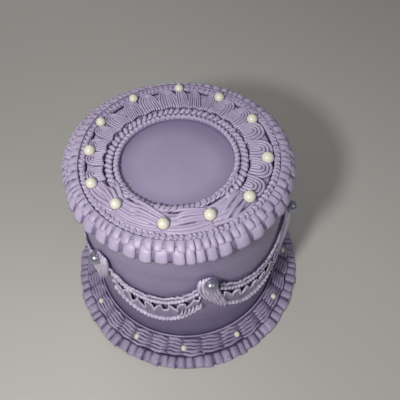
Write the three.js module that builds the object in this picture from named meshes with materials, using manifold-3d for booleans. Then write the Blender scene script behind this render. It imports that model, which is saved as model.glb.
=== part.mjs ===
// A small round celebration cake, iced smooth in lilac buttercream and piped
// with rope borders, ridged scrolls, pleated ruffles, swags and tassels, and
// set with sugar pearls. Millimetres, +Z up, origin at the middle of the
// underside, front of the cake towards -Y. Azimuths are in degrees.
import * as THREE from 'three';
import { mergeVertices } from 'three/addons/utils/BufferGeometryUtils.js';
import Module from 'manifold-3d';

// Driving dimensions of the iced cake.
const CAKE_RADIUS = 67.5;
const CAKE_HEIGHT = 122.5;
const CAKE_SIDES = 60;
const TOP_EDGE = 1.5;

// Gap kept between neighbouring pieces, and the least detail kept after fusing.
const CLEARANCE = 0.35;
const SLIVER = 0.15;

// Rope border round the smooth disc on top. Its middle lies a little forward.
// A bead's crest narrows to a share of the width, swells, and leads its foot.
const ROPE_MIDDLE = [-2, -3.5];
const INNER_ROPE = { from: 35.2, to: 38.7, height: 4.4, beads: 56 };
const OUTER_ROPE = { from: 39.1, to: 43.7, height: 4.6, beads: 42 };
const BEAD = { crestShare: 0.5, swell: 0.16, slant: 0.45 };

// Sugar pearls on top: azimuth, distance out and radius of each.
const TOP_PEARLS = [
  [-160, 55.7, 3.3],
  [-137, 51.4, 3.25],
  [-103, 52, 3.3],
  [-74, 49.5, 3.5],
  [-46, 53, 3.6],
  [-12, 53.6, 3.8],
  [25, 54, 3.5],
  [57, 55.5, 3.4],
  [87, 59.5, 3.1],
  [119, 59.8, 3.1],
  [148, 59, 3.1],
  [173, 55.9, 3.5],
];
const PEARL_MIDDLE_HEIGHT = 4.6;
const PEARL_FACETS = [8, 5];

// Horseshoe scrolls: how many lie between each pearl and the next. A band's
// width and bend are shares of the whole stroke's width, and its two ridges
// and the groove between them are shares of its half width and its height.
const SCROLLS_PER_GAP = [1, 2, 2, 2, 2, 2, 2, 3, 2, 2, 2, 2];
const SCROLL = {
  outer: 57.2,
  height: 4.8,
  bedHeight: 1.6,
  bedSlope: 0.8,
  bedSides: 48,
  turnSteps: 3,
  fill: 0.92,
  band: 0.235,
  bend: 0.265,
  startShare: 0.3,
  ridgeAt: 0.62,
  groove: 0.7,
  ease: 0.4,
};

// Braid and pleated ruffle round the rim.
const BRAID = { from: 57.7, to: 61.3, height: 4.4, folds: 44, shoulder: 0.8, notch: 1.1, lean: 0.3 };
const RUFFLE = {
  from: 61.7,
  hem: 71.8,
  height: 3.9,
  kneeHeight: 2.3,
  drop: 4.3,
  hemThickness: 1.4,
  overhang: 2.2,
  pleats: 64,
  depth: 1.1,
};
const PLEAT_DRIFT = [
  { waves: 5, share: 0.24 },
  { waves: 11, share: 0.16 },
];
const PLEAT_LIFT = 0.35;

// Tassels down the side, each with a pearl near its top.
const TASSEL_AZIMUTHS = [-80.8, -19.5, 40, 99.5, 159.5, -138.7];
const TASSEL = {
  top: 98,
  foot: 51,
  width: 11.5,
  thickness: 5.4,
  lean: 3.5,
  strands: 6,
  bands: 3,
  topSpread: 0.78,
  swell: 0.34,
  swellPace: 1.25,
  pinch: 0.25,
  groove: 0.72,
  taper: 0.55,
  endCurve: 3.2,
  edge: 0.4,
};
const TASSEL_PEARL = { radius: 4, z: 92.8, out: 4.6 };

// Swags hung between the tassels. Each section point has its height at the
// ends, how far it sags, and how far it stands off the side.
const SWAG = { end: 5.9, steps: 8, sag: 13.5 };
const SWAG_SECTION = [
  { z: 88.5, sag: 1.0, out: 0 },
  { z: 60, sag: 1.4, out: 0 },
  { z: 60.5, sag: 1.4, out: 2.6 },
  { z: 70, sag: 0.92, out: 3.2 },
  { z: 72.5, sag: 0.92, out: 0.8 },
  { z: 75.5, sag: 0.95, out: 0.8 },
  { z: 78.5, sag: 0.97, out: 3.1 },
  { z: 82, sag: 0.98, out: 0.8 },
  { z: 86, sag: 1.0, out: 3 },
];

// Border of overlapping shells round the foot: its slope as [radius, height]
// points from the floor up to the wall, and how far each step of a shell dips.
const FOOT_BORDER = {
  shells: 28,
  dips: [0, 0.8, 1.9],
  dipsAbove: 3,
  slope: [
    [78.2, 0],
    [78.2, 5],
    [76, 8.6],
    [73.2, 10.4],
    [69.4, 12.5],
  ],
  wallHeight: 11.9,
};

// Pleated ruffle lying flat outside the border, and the pearls on the border.
const FOOT_RUFFLE = { from: 78.7, hem: 88, height: 5.6, hemHeight: 3.4, pleats: 80, depth: 0.9 };
const FOOT_VALLEY = { deep: 2.1, shallow: 0.4 };
const FOOT_PEARL = { radius: 2, ring: 75.5, z: 9.6, facets: [6, 4] };
const FOOT_PEARL_AZIMUTHS = [-151.5, -122, -96, -67, -37, -7, 23, 53, 83, 113, 143, 175];

const TURN = Math.PI * 2;
const radians = THREE.MathUtils.degToRad;

const wasm = await Module();
wasm.setup();

const lilac = { color: 0xa597bd, roughness: 0.5, metalness: 0 };
const paleLilac = { color: 0xc3b5d3, roughness: 0.55, metalness: 0 };
const deepLilac = { color: 0x8b7dab, roughness: 0.5, metalness: 0 };
const pearlWhite = { color: 0xf1ebd8, roughness: 0.25, metalness: 0 };
const pearlSilver = { color: 0x8d8ca6, roughness: 0.25, metalness: 0.5 };

const cake = new THREE.Group();

function addPiece(name, geometry, finish) {
  const piece = new THREE.Mesh(geometry, new THREE.MeshStandardMaterial(finish));
  piece.name = name;
  cake.add(piece);
  return piece;
}

// Drops normals and uvs, so that coincident corners become one.
function weld(geometry) {
  geometry.deleteAttribute('normal');
  geometry.deleteAttribute('uv');
  const welded = mergeVertices(geometry, 1e-3);
  welded.computeVertexNormals();
  return welded;
}

// Moves every corner by a rule on its distance from the axis, azimuth and height.
function reshape(geometry, rule) {
  const places = geometry.attributes.position;
  for (let i = 0; i < places.count; i += 1) {
    const x = places.getX(i);
    const y = places.getY(i);
    const moved = rule(Math.hypot(x, y), Math.atan2(y, x), places.getZ(i));
    places.setXYZ(i, moved.r * Math.cos(moved.a), moved.r * Math.sin(moved.a), moved.z);
  }
  return geometry;
}

// Turns a closed section of [radius, height] points once round the upright axis.
function turned(section, steps) {
  const outline = section.map(([r, z]) => new THREE.Vector2(r, z));
  outline.push(outline[0].clone());
  const ring = new THREE.LatheGeometry(outline, steps, Math.PI / 2);
  ring.rotateX(Math.PI / 2);
  return ring;
}

// Which step of a ring an azimuth lies on.
function stepAt(a, steps) {
  return Math.round((a / TURN) * steps);
}

function isEven(step) {
  return step % 2 === 0;
}

function toSolid(geometry) {
  const mesh = new wasm.Mesh({
    numProp: 3,
    vertProperties: new Float32Array(geometry.attributes.position.array),
    triVerts: new Uint32Array(geometry.index.array),
  });
  return new wasm.Manifold(mesh);
}

function toGeometry(solid) {
  const mesh = solid.getMesh();
  const geometry = new THREE.BufferGeometry();
  geometry.setAttribute('position', new THREE.BufferAttribute(mesh.vertProperties, 3));
  geometry.setIndex(new THREE.BufferAttribute(mesh.triVerts, 1));
  return weld(geometry);
}

// Keeps the outer skin of a fused solid: sealed hollows fill and scraps go.
function outerSkin(solid) {
  return solid.decompose().reduce((a, b) => (a.volume() > b.volume() ? a : b));
}

// Presses seats for pearls into a solid, a clearance wider than each pearl.
function withSeats(geometry, pearls, facets) {
  let solid = toSolid(geometry);
  for (const pearl of pearls) {
    const seat = new THREE.SphereGeometry(pearl.radius + CLEARANCE, ...facets);
    seat.translate(...pearl.place);
    solid = solid.subtract(toSolid(weld(seat)));
  }
  return toGeometry(outerSkin(solid.simplify(SLIVER)));
}

function placeAt(azimuth, out, height) {
  const a = radians(azimuth);
  return [out * Math.cos(a), out * Math.sin(a), height];
}

function addPearls(name, pearls, facets, finish) {
  pearls.forEach(({ radius, place }, i) => {
    const sphere = weld(new THREE.SphereGeometry(radius, ...facets));
    addPiece(`${name}_${i + 1}`, sphere, finish).position.set(...place);
  });
}

// The iced cake itself: a straight drum with a softened top edge.
function cakeDrum() {
  const profile = [
    [0, 0],
    [CAKE_RADIUS, 0],
    [CAKE_RADIUS, CAKE_HEIGHT - TOP_EDGE],
    [CAKE_RADIUS - TOP_EDGE, CAKE_HEIGHT],
    [0, CAKE_HEIGHT],
  ].map(([r, z]) => new THREE.Vector2(r, z));
  const drum = new THREE.LatheGeometry(profile, CAKE_SIDES);
  drum.rotateX(Math.PI / 2);
  return weld(drum);
}

// One row of slanted beads: a half-round rib whose crest swells at every bead
// and whose foot lags behind its crest, as in a twisted rope.
function ropeRow({ from, to, height, beads }) {
  const floor = CAKE_HEIGHT + CLEARANCE;
  const middle = (from + to) / 2;
  const half = (to - from) / 2;
  const section = [
    [from, floor],
    [to, floor],
    [middle + half * BEAD.crestShare, floor + height - CLEARANCE],
    [middle - half * BEAD.crestShare, floor + height - CLEARANCE],
  ];
  const slant = (TURN / beads) * BEAD.slant;
  const steps = beads * 2;
  const ring = turned(section, steps);
  reshape(ring, (r, a, z) => {
    const swell = isEven(stepAt(a, steps)) ? 0 : BEAD.swell;
    const lift = (z - floor) / height;
    return {
      r: middle + (r - middle) * (1 - swell * lift),
      a: a + slant * lift * ((r - middle) / half),
      z: floor + (z - floor) * (1 - swell),
    };
  });
  ring.translate(ROPE_MIDDLE[0], ROPE_MIDDLE[1], 0);
  return weld(ring);
}

// Inner end of the scrolls: the outer rope's edge seen from the cake's axis.
function scrollStart(azimuth) {
  const along = ROPE_MIDDLE[0] * Math.cos(azimuth) + ROPE_MIDDLE[1] * Math.sin(azimuth);
  return OUTER_ROPE.to + along;
}

// One horseshoe: a ridged band run out, round and back, open towards the middle.
function scrollStroke(azimuth, width) {
  const band = width * SCROLL.band;
  const bend = width * SCROLL.bend;
  const start = scrollStart(azimuth) + band * SCROLL.startShare;
  const apex = SCROLL.outer - band - bend;
  const centre = new THREE.Vector3(apex, 0, 0);
  const points = [new THREE.Vector3(start, -bend, 0)];
  for (let i = 0; i <= SCROLL.turnSteps; i += 1) {
    const turn = -Math.PI / 2 + (Math.PI * i) / SCROLL.turnSteps;
    const point = new THREE.Vector3(Math.cos(turn) * bend, Math.sin(turn) * bend, 0);
    points.push(point.add(centre));
  }
  points.push(new THREE.Vector3(start, bend, 0));
  const crest = SCROLL.height - CLEARANCE;
  const section = new THREE.Shape([
    new THREE.Vector2(0, -band),
    new THREE.Vector2(-crest, -band * SCROLL.ridgeAt),
    new THREE.Vector2(-crest * SCROLL.groove, 0),
    new THREE.Vector2(-crest, band * SCROLL.ridgeAt),
    new THREE.Vector2(0, band),
  ]);
  const curve = new THREE.CatmullRomCurve3(points, false, 'catmullrom', SCROLL.ease);
  const stroke = new THREE.ExtrudeGeometry(section, {
    steps: points.length,
    extrudePath: curve,
    bevelEnabled: false,
  });
  stroke.rotateZ(azimuth);
  return weld(stroke);
}

// The thin bed of icing under the scrolls, turned from near the axis and then
// opened out to the rope.
function scrollBed(floor) {
  const core = 1;
  const bed = turned(
    [
      [core, floor],
      [SCROLL.outer, floor],
      [SCROLL.outer - SCROLL.bedSlope, floor + SCROLL.bedHeight],
      [core, floor + SCROLL.bedHeight],
    ],
    SCROLL.bedSides,
  );
  reshape(bed, (r, a, z) => ({ r: r < core * 2 ? scrollStart(a) : r, a, z }));
  return toSolid(weld(bed));
}

// The ring of scrolls on its bed, cut back to clear the rope and the pearls.
function scrollRing(pearls) {
  const floor = CAKE_HEIGHT + CLEARANCE;
  let ring = scrollBed(floor);
  TOP_PEARLS.forEach(([azimuth], gap) => {
    const [next] = TOP_PEARLS[(gap + 1) % TOP_PEARLS.length];
    const span = THREE.MathUtils.euclideanModulo(next - azimuth, 360);
    const count = SCROLLS_PER_GAP[gap];
    for (let i = 0; i < count; i += 1) {
      const middle = radians(azimuth + (span * (i + 0.5)) / count);
      const width = radians(span / count) * SCROLL.outer * SCROLL.fill;
      const stroke = scrollStroke(middle, width);
      stroke.translate(0, 0, floor);
      ring = ring.add(toSolid(stroke));
    }
  });
  const reach = (OUTER_ROPE.to + CLEARANCE) / Math.cos(Math.PI / SCROLL.bedSides);
  const well = new THREE.CylinderGeometry(reach, reach, SCROLL.height * 4, SCROLL.bedSides);
  well.rotateX(Math.PI / 2);
  well.translate(ROPE_MIDDLE[0], ROPE_MIDDLE[1], floor);
  ring = ring.subtract(toSolid(weld(well)));
  return withSeats(toGeometry(ring), pearls, PEARL_FACETS);
}

// A band of small folds laid side by side.
function braidRing() {
  const floor = CAKE_HEIGHT + CLEARANCE;
  const { from, to, height, folds, shoulder, notch, lean } = BRAID;
  const section = [
    [from, floor],
    [to, floor],
    [to - shoulder, floor + height - shoulder],
    [from + shoulder, floor + height - CLEARANCE],
  ];
  const steps = folds * 2;
  const ring = turned(section, steps);
  reshape(ring, (r, a, z) => {
    const low = isEven(stepAt(a, steps));
    return {
      r,
      a: a + (low ? lean : 0) * (TURN / folds),
      z: low && z > floor + notch ? z - notch : z,
    };
  });
  return weld(ring);
}

// A pleated frill: its hem swings in and out and up and down at every pleat.
function frill(section, pleats, depth, weight) {
  const steps = pleats * 2;
  const ring = turned(section, steps);
  reshape(ring, (r, a, z) => {
    const out = isEven(stepAt(a, steps)) ? 1 : -1;
    const share = weight(r);
    const drift = PLEAT_DRIFT.reduce((sum, wave) => sum + wave.share * Math.sin(a * wave.waves), 0);
    return {
      r: r + out * depth * share,
      a: a + (drift * TURN * share) / pleats,
      z: z + out * depth * PLEAT_LIFT * share,
    };
  });
  return weld(ring);
}

// The ruffle that hangs over the rim, with the second row of the braid on top.
function rimRuffle() {
  const { from, hem, height, kneeHeight, drop, hemThickness, overhang, pleats, depth } = RUFFLE;
  const top = CAKE_HEIGHT;
  const wall = CAKE_RADIUS + CLEARANCE;
  const section = [
    [from, top + CLEARANCE],
    [CAKE_RADIUS - TOP_EDGE, top + CLEARANCE],
    [wall, top + CLEARANCE - TOP_EDGE],
    [CAKE_RADIUS + overhang, top - drop],
    [hem - depth, top - drop + hemThickness],
    [wall, top + kneeHeight],
    [from + CLEARANCE, top + height],
  ];
  return frill(section, pleats, depth, (r) =>
    THREE.MathUtils.smoothstep(r, CAKE_RADIUS - CLEARANCE, CAKE_RADIUS + overhang),
  );
}

// A tassel: ridged strands fanning down the side from behind its pearl.
function tassel(azimuth, side) {
  const { top, foot, width, thickness, lean, strands, bands } = TASSEL;
  const block = new THREE.BoxGeometry(1, 1, 1, strands, 1, bands);
  const places = block.attributes.position;
  const wall = CAKE_RADIUS + CLEARANCE;
  for (let i = 0; i < places.count; i += 1) {
    const u = -places.getX(i) * 2;
    const v = 0.5 - places.getZ(i);
    const front = places.getY(i) > 0;
    const swell = TASSEL.swell * Math.sin(Math.PI * Math.min(v * TASSEL.swellPace, 1));
    const spread = TASSEL.topSpread + swell - TASSEL.pinch * v * v;
    const t = u * (width / 2) * spread + lean * side * v * v;
    const strand = isEven(Math.round((u + 1) * (strands / 2))) ? TASSEL.groove : 1;
    const crown = Math.sqrt(Math.max(0, 1 - u * u)) * (1 - TASSEL.taper * v);
    const proud = front ? Math.max(thickness * crown * strand, TASSEL.edge) : 0;
    const endCurve = TASSEL.endCurve * u * u * (0.5 - v);
    const a = radians(azimuth) + t / wall;
    const r = wall + proud;
    places.setXYZ(i, r * Math.cos(a), r * Math.sin(a), top - (top - foot) * v - endCurve);
  }
  return weld(block);
}

// A swag: two strings above a ruffled ribbon, hanging from tassel to tassel.
function swag(azimuth, span) {
  const start = radians(azimuth + SWAG.end);
  const hung = radians(span - SWAG.end * 2);
  const outline = new THREE.Shape(SWAG_SECTION.map(({ z, out }) => new THREE.Vector2(out, z)));
  const band = new THREE.ExtrudeGeometry(outline, {
    depth: 1,
    steps: SWAG.steps,
    bevelEnabled: false,
  });
  const places = band.attributes.position;
  for (let i = 0; i < places.count; i += 1) {
    const out = places.getX(i);
    const height = places.getY(i);
    const v = places.getZ(i);
    const point = SWAG_SECTION.find((p) => Math.abs(p.z - height) < SLIVER);
    const dip = SWAG.sag * point.sag * 4 * v * (1 - v);
    const r = CAKE_RADIUS + CLEARANCE + out;
    const a = start + hung * (1 - v);
    places.setXYZ(i, r * Math.cos(a), r * Math.sin(a), height - dip);
  }
  return weld(band);
}

// Overlapping ridged shells laid along the foot, each swelling at its head.
function footBorder(pearls) {
  const { shells, dips, dipsAbove, slope, wallHeight } = FOOT_BORDER;
  const wall = CAKE_RADIUS + CLEARANCE;
  const section = [[wall, 0], ...slope, [wall, wallHeight]];
  const steps = shells * dips.length;
  const ring = turned(section, steps);
  reshape(ring, (r, a, z) => {
    const phase = THREE.MathUtils.euclideanModulo(stepAt(a, steps), dips.length);
    const dip = z > dipsAbove && r > wall + CLEARANCE ? dips[phase] : 0;
    return { r, a, z: z - dip };
  });
  return withSeats(weld(ring), pearls, FOOT_PEARL.facets);
}

// The flat ruffle: its pleats sink and draw in at every valley of the hem.
function footRuffle() {
  const { from, hem, height, hemHeight, pleats, depth } = FOOT_RUFFLE;
  const section = [
    [from, 0],
    [hem, 0],
    [hem - CLEARANCE, hemHeight],
    [from, height],
  ];
  const steps = pleats * 2;
  const ring = turned(section, steps);
  reshape(ring, (r, a, z) => {
    const valley = !isEven(stepAt(a, steps));
    const share = THREE.MathUtils.smoothstep(r, from, hem);
    return {
      r: valley ? r - depth * share : r,
      a,
      z: valley && z > SLIVER ? z - FOOT_VALLEY.deep * share - FOOT_VALLEY.shallow : z,
    };
  });
  return weld(ring);
}

const topSet = TOP_PEARLS.map(([azimuth, out, radius]) => ({
  radius,
  place: placeAt(azimuth, out, CAKE_HEIGHT + PEARL_MIDDLE_HEIGHT),
}));
const tasselSet = TASSEL_AZIMUTHS.map((azimuth) => ({
  radius: TASSEL_PEARL.radius,
  place: placeAt(azimuth, CAKE_RADIUS + TASSEL_PEARL.out, TASSEL_PEARL.z),
}));
const footSet = FOOT_PEARL_AZIMUTHS.map((azimuth) => ({
  radius: FOOT_PEARL.radius,
  place: placeAt(azimuth, FOOT_PEARL.ring, FOOT_PEARL.z),
}));

addPiece('cake_drum', cakeDrum(), lilac);
addPiece('rope_inner', ropeRow(INNER_ROPE), paleLilac);
addPiece('rope_outer', withSeats(ropeRow(OUTER_ROPE), topSet, PEARL_FACETS), paleLilac);
addPiece('scroll_ring', scrollRing(topSet), paleLilac);
addPiece('rim_braid', withSeats(braidRing(), topSet, PEARL_FACETS), paleLilac);
addPiece('rim_ruffle', withSeats(rimRuffle(), topSet, PEARL_FACETS), paleLilac);
addPearls('top_pearl', topSet, PEARL_FACETS, pearlWhite);
TASSEL_AZIMUTHS.forEach((azimuth, i) => {
  const next = TASSEL_AZIMUTHS[(i + 1) % TASSEL_AZIMUTHS.length];
  const span = THREE.MathUtils.euclideanModulo(next - azimuth, 360);
  const fan = tassel(azimuth, isEven(i) ? 1 : -1);
  addPiece(`swag_${i + 1}`, swag(azimuth, span), lilac);
  addPiece(`tassel_${i + 1}`, withSeats(fan, [tasselSet[i]], PEARL_FACETS), paleLilac);
});
addPearls('tassel_pearl', tasselSet, PEARL_FACETS, pearlSilver);
addPiece('foot_border', footBorder(footSet), deepLilac);
addPiece('foot_ruffle', footRuffle(), deepLilac);
addPearls('foot_pearl', footSet, FOOT_PEARL.facets, pearlWhite);

export default cake;
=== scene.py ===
import math

import bmesh
import bpy
import numpy as np
from mathutils import Matrix, Vector


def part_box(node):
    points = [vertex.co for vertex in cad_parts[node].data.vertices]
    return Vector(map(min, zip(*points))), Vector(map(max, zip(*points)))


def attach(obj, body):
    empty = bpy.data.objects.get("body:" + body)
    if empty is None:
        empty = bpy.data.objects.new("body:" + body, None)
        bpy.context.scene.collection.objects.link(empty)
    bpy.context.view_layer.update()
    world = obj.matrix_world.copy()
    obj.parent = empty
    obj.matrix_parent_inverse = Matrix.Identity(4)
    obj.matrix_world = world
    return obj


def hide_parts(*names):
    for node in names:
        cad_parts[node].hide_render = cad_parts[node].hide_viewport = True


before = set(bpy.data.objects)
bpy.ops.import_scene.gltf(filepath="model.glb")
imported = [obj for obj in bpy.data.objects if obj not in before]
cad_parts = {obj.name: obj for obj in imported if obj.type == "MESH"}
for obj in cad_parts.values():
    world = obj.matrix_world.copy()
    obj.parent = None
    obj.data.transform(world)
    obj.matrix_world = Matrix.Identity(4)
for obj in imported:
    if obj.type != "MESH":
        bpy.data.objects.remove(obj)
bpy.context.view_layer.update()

scene = bpy.context.scene
scene.view_settings.view_transform = "Standard"

# The view: a hand-held camera about 0.38 m from the cake, looking steeply down
# from the front. The shift puts the cake low in the frame, as photographed.
FRAME_SIDE = 400
SENSOR = 36.0
FOCAL_PIXELS = 440.9
AXIS_PIXEL = (198.1, 132.0)
CAMERA_PLACE = (0.0, -0.18097, 0.32834)
CAMERA_YAW = 0.065
CAMERA_PITCH = 0.798
CAMERA_ROLL = -0.034

camera_data = bpy.data.cameras.new("camera")
camera_data.sensor_width = SENSOR
camera_data.lens = FOCAL_PIXELS / FRAME_SIDE * SENSOR
camera_data.shift_x = (FRAME_SIDE / 2 - AXIS_PIXEL[0]) / FRAME_SIDE
camera_data.shift_y = -(FRAME_SIDE / 2 - AXIS_PIXEL[1]) / FRAME_SIDE
camera = bpy.data.objects.new("camera", camera_data)
turn = Matrix.Rotation(-CAMERA_YAW, 4, "Z") @ Matrix.Rotation(math.pi / 2 - CAMERA_PITCH, 4, "X")
camera.matrix_world = (
    Matrix.Translation(CAMERA_PLACE) @ turn @ Matrix.Rotation(CAMERA_ROLL, 4, "Z")
)
scene.collection.objects.link(camera)
scene.camera = camera


# Light and floor: one soft lamp close to the camera and a little to its left,
# a weak even surround, and a matt floor.
def add_lamp(name, place, target, side, power, colour):
    lamp_data = bpy.data.lights.new(name, "AREA")
    lamp_data.shape = "DISK"
    lamp_data.size = side
    lamp_data.energy = power
    lamp_data.color = colour
    lamp = bpy.data.objects.new(name, lamp_data)
    aim = Vector(target) - Vector(place)
    facing = aim.to_track_quat("-Z", "Y").to_matrix().to_4x4()
    lamp.matrix_world = Matrix.Translation(place) @ facing
    scene.collection.objects.link(lamp)


add_lamp(
    "key_lamp", place=(-0.14, -0.25, 0.39), target=(0.0, 0.0, 0.09),
    side=0.05, power=1.07, colour=(1.0, 0.98, 0.94),
)
add_lamp(
    "fill_lamp", place=(0.5, -0.5, 0.7), target=(0.0, 0.0, 0.05),
    side=0.6, power=0.6, colour=(0.96, 0.97, 1.0),
)
add_lamp(
    "back_lamp", place=(-0.3, 0.7, 0.6), target=(0.0, 0.0, 0.05),
    side=0.6, power=0.9, colour=(1.0, 0.98, 0.95),
)

world = bpy.data.worlds.new("surround")
world.use_nodes = True
world.node_tree.nodes["Background"].inputs["Color"].default_value = (0.80, 0.81, 0.80, 1.0)
world.node_tree.nodes["Background"].inputs["Strength"].default_value = 0.20
scene.world = world

floor_mesh = bpy.data.meshes.new("floor")
floor_form = bmesh.new()
bmesh.ops.create_grid(floor_form, x_segments=1, y_segments=1, size=3.0)
floor_form.to_mesh(floor_mesh)
floor_form.free()
floor = bpy.data.objects.new("floor", floor_mesh)
scene.collection.objects.link(floor)
floor_finish = bpy.data.materials.new("pale_floor")
floor_finish.use_nodes = True
floor_shader = floor_finish.node_tree.nodes["Principled BSDF"]
floor_shader.inputs["Base Color"].default_value = (0.625, 0.61, 0.58, 1.0)
floor_shader.inputs["Roughness"].default_value = 0.7
floor_mesh.materials.append(floor_finish)


# The iced cake: sponge and filling under a coat of lilac buttercream, scraped
# smooth on a turntable, so the side keeps faint level streaks.
MM = 0.001
CAKE_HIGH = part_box("cake_drum")[1]
CAKE_RADIUS = CAKE_HIGH[0] / MM
CAKE_TOP = CAKE_HIGH[2] / MM
TOP_EDGE = 2.0
SIDE_STEPS = 70
TOP_STEPS = 24
CAKE_SIDES = 180
STREAKS = 26
STREAK_HALF = 0.9
# Painted shade: a darker band round the rim of the top, and the side darker all over, most towards
# the foot.
DISC_RIM_PAINTED_SHADE = 0.34
SIDE_PAINTED_SHADE = 0.32
FOOT_PAINTED_SHADE = 0.40
rng = np.random.default_rng(11)


def smoothstep(low, high, value):
    share = np.clip((value - low) / (high - low), 0.0, 1.0)
    return share * share * (3.0 - 2.0 * share)


def buttercream_group():
    """Mottle, grain, lustre specks and painted shade in the creases, shared by every icing."""
    group = bpy.data.node_groups.new("buttercream", "ShaderNodeTree")
    for socket, kind, start in (
        ("Light", "NodeSocketColor", (0.6, 0.5, 0.7, 1.0)),
        ("Deep", "NodeSocketColor", (0.4, 0.3, 0.5, 1.0)),
        ("Mottle Scale", "NodeSocketFloat", 30.0),
        ("Stretch", "NodeSocketVector", (1.0, 1.0, 1.0)),
        ("Speck Amount", "NodeSocketFloat", 0.0),
        ("Roughness Middle", "NodeSocketFloat", 0.5),
    ):
        entry = group.interface.new_socket(socket, in_out="INPUT", socket_type=kind)
        entry.default_value = start
    group.interface.new_socket("Color", in_out="OUTPUT", socket_type="NodeSocketColor")
    group.interface.new_socket("Roughness", in_out="OUTPUT", socket_type="NodeSocketFloat")
    group.interface.new_socket("Height", in_out="OUTPUT", socket_type="NodeSocketFloat")
    nodes, links = group.nodes, group.links
    entry = nodes.new("NodeGroupInput")
    leave = nodes.new("NodeGroupOutput")
    place = nodes.new("ShaderNodeTexCoord")

    stretch = nodes.new("ShaderNodeVectorMath")
    stretch.operation = "MULTIPLY"
    links.new(place.outputs["Object"], stretch.inputs[0])
    links.new(entry.outputs["Stretch"], stretch.inputs[1])
    mottle = nodes.new("ShaderNodeTexNoise")
    mottle.inputs["Detail"].default_value = 3.0
    links.new(stretch.outputs["Vector"], mottle.inputs["Vector"])
    links.new(entry.outputs["Mottle Scale"], mottle.inputs["Scale"])
    spread = nodes.new("ShaderNodeMapRange")
    spread.inputs["From Min"].default_value = 0.35
    spread.inputs["From Max"].default_value = 0.65
    links.new(mottle.outputs["Fac"], spread.inputs["Value"])
    blend = nodes.new("ShaderNodeMix")
    blend.data_type = "RGBA"
    links.new(spread.outputs["Result"], blend.inputs["Factor"])
    links.new(entry.outputs["Light"], blend.inputs["A"])
    links.new(entry.outputs["Deep"], blend.inputs["B"])

    # Painted shade: each corner's mark of how deep in a crease it lies multiplies the colour
    # towards a deep violet.
    crease_shade = nodes.new("ShaderNodeAttribute")
    crease_shade.attribute_name = "crease_shade"
    shade = nodes.new("ShaderNodeMix")
    shade.data_type = "RGBA"
    shade.blend_type = "MULTIPLY"
    shade.inputs["B"].default_value = (0.28, 0.25, 0.38, 1.0)
    links.new(crease_shade.outputs["Fac"], shade.inputs["Factor"])
    links.new(blend.outputs["Result"], shade.inputs["A"])

    cells = nodes.new("ShaderNodeTexVoronoi")
    cells.inputs["Scale"].default_value = 760.0
    links.new(place.outputs["Object"], cells.inputs["Vector"])
    near = nodes.new("ShaderNodeMath")
    near.operation = "LESS_THAN"
    near.inputs[1].default_value = 0.26
    links.new(cells.outputs["Distance"], near.inputs[0])
    chance = nodes.new("ShaderNodeSeparateColor")
    links.new(cells.outputs["Color"], chance.inputs["Color"])
    picked = nodes.new("ShaderNodeMath")
    picked.operation = "LESS_THAN"
    links.new(chance.outputs["Red"], picked.inputs[0])
    links.new(entry.outputs["Speck Amount"], picked.inputs[1])
    speck = nodes.new("ShaderNodeMath")
    speck.operation = "MULTIPLY"
    links.new(near.outputs[0], speck.inputs[0])
    links.new(picked.outputs[0], speck.inputs[1])
    glint = nodes.new("ShaderNodeMix")
    glint.data_type = "RGBA"
    glint.inputs["B"].default_value = (0.92, 0.88, 0.97, 1.0)
    links.new(speck.outputs[0], glint.inputs["Factor"])
    links.new(shade.outputs["Result"], glint.inputs["A"])
    links.new(glint.outputs["Result"], leave.inputs["Color"])

    polish = nodes.new("ShaderNodeMath")
    polish.operation = "MULTIPLY_ADD"
    polish.inputs[1].default_value = -0.3
    links.new(speck.outputs[0], polish.inputs[0])
    links.new(entry.outputs["Roughness Middle"], polish.inputs[2])
    links.new(polish.outputs[0], leave.inputs["Roughness"])

    grain = nodes.new("ShaderNodeTexNoise")
    grain.inputs["Scale"].default_value = 900.0
    grain.inputs["Detail"].default_value = 4.0
    links.new(place.outputs["Object"], grain.inputs["Vector"])
    links.new(grain.outputs["Fac"], leave.inputs["Height"])
    return group


BUTTERCREAM = buttercream_group()


def icing_finish(name, light, deep, roughness, specks, grain, mottle, stretch=(1, 1, 1)):
    """A buttercream material, with its shader and bump in the material itself."""
    finish = bpy.data.materials.new(name)
    finish.use_nodes = True
    nodes, links = finish.node_tree.nodes, finish.node_tree.links
    shader = nodes["Principled BSDF"]
    shader.inputs["Subsurface Weight"].default_value = 0.08
    shader.inputs["Subsurface Radius"].default_value = (1.0, 0.8, 1.0)
    shader.inputs["Subsurface Scale"].default_value = 0.0007
    shader.inputs["Specular IOR Level"].default_value = 0.5
    cream = nodes.new("ShaderNodeGroup")
    cream.node_tree = BUTTERCREAM
    cream.inputs["Light"].default_value = light
    cream.inputs["Deep"].default_value = deep
    cream.inputs["Mottle Scale"].default_value = mottle
    cream.inputs["Stretch"].default_value = stretch
    cream.inputs["Speck Amount"].default_value = specks
    cream.inputs["Roughness Middle"].default_value = roughness
    bump = nodes.new("ShaderNodeBump")
    bump.inputs["Strength"].default_value = grain
    bump.inputs["Distance"].default_value = 0.0005
    links.new(cream.outputs["Color"], shader.inputs["Base Color"])
    links.new(cream.outputs["Roughness"], shader.inputs["Roughness"])
    links.new(cream.outputs["Height"], bump.inputs["Height"])
    links.new(bump.outputs["Normal"], shader.inputs["Normal"])
    return finish


def finish_piece(mesh, name, finish, slot, *nodes):
    """Makes a mesh a smooth piece that rides on the cake and stands for nodes."""
    mesh.name = name
    mesh.shade_smooth()
    mesh.materials.append(finish)
    piece = bpy.data.objects.new(name, mesh)
    scene.collection.objects.link(piece)
    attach(piece, "root")
    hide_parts(*nodes)


def meshed(form):
    """Turns a bmesh form into a mesh with its faces outward."""
    bmesh.ops.recalc_face_normals(form, faces=form.faces)
    mesh = bpy.data.meshes.new("icing")
    form.to_mesh(mesh)
    form.free()
    return mesh


def corners(mesh):
    flat = np.empty(len(mesh.vertices) * 3)
    mesh.vertices.foreach_get("co", flat)
    return flat.reshape(-1, 3)


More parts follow.
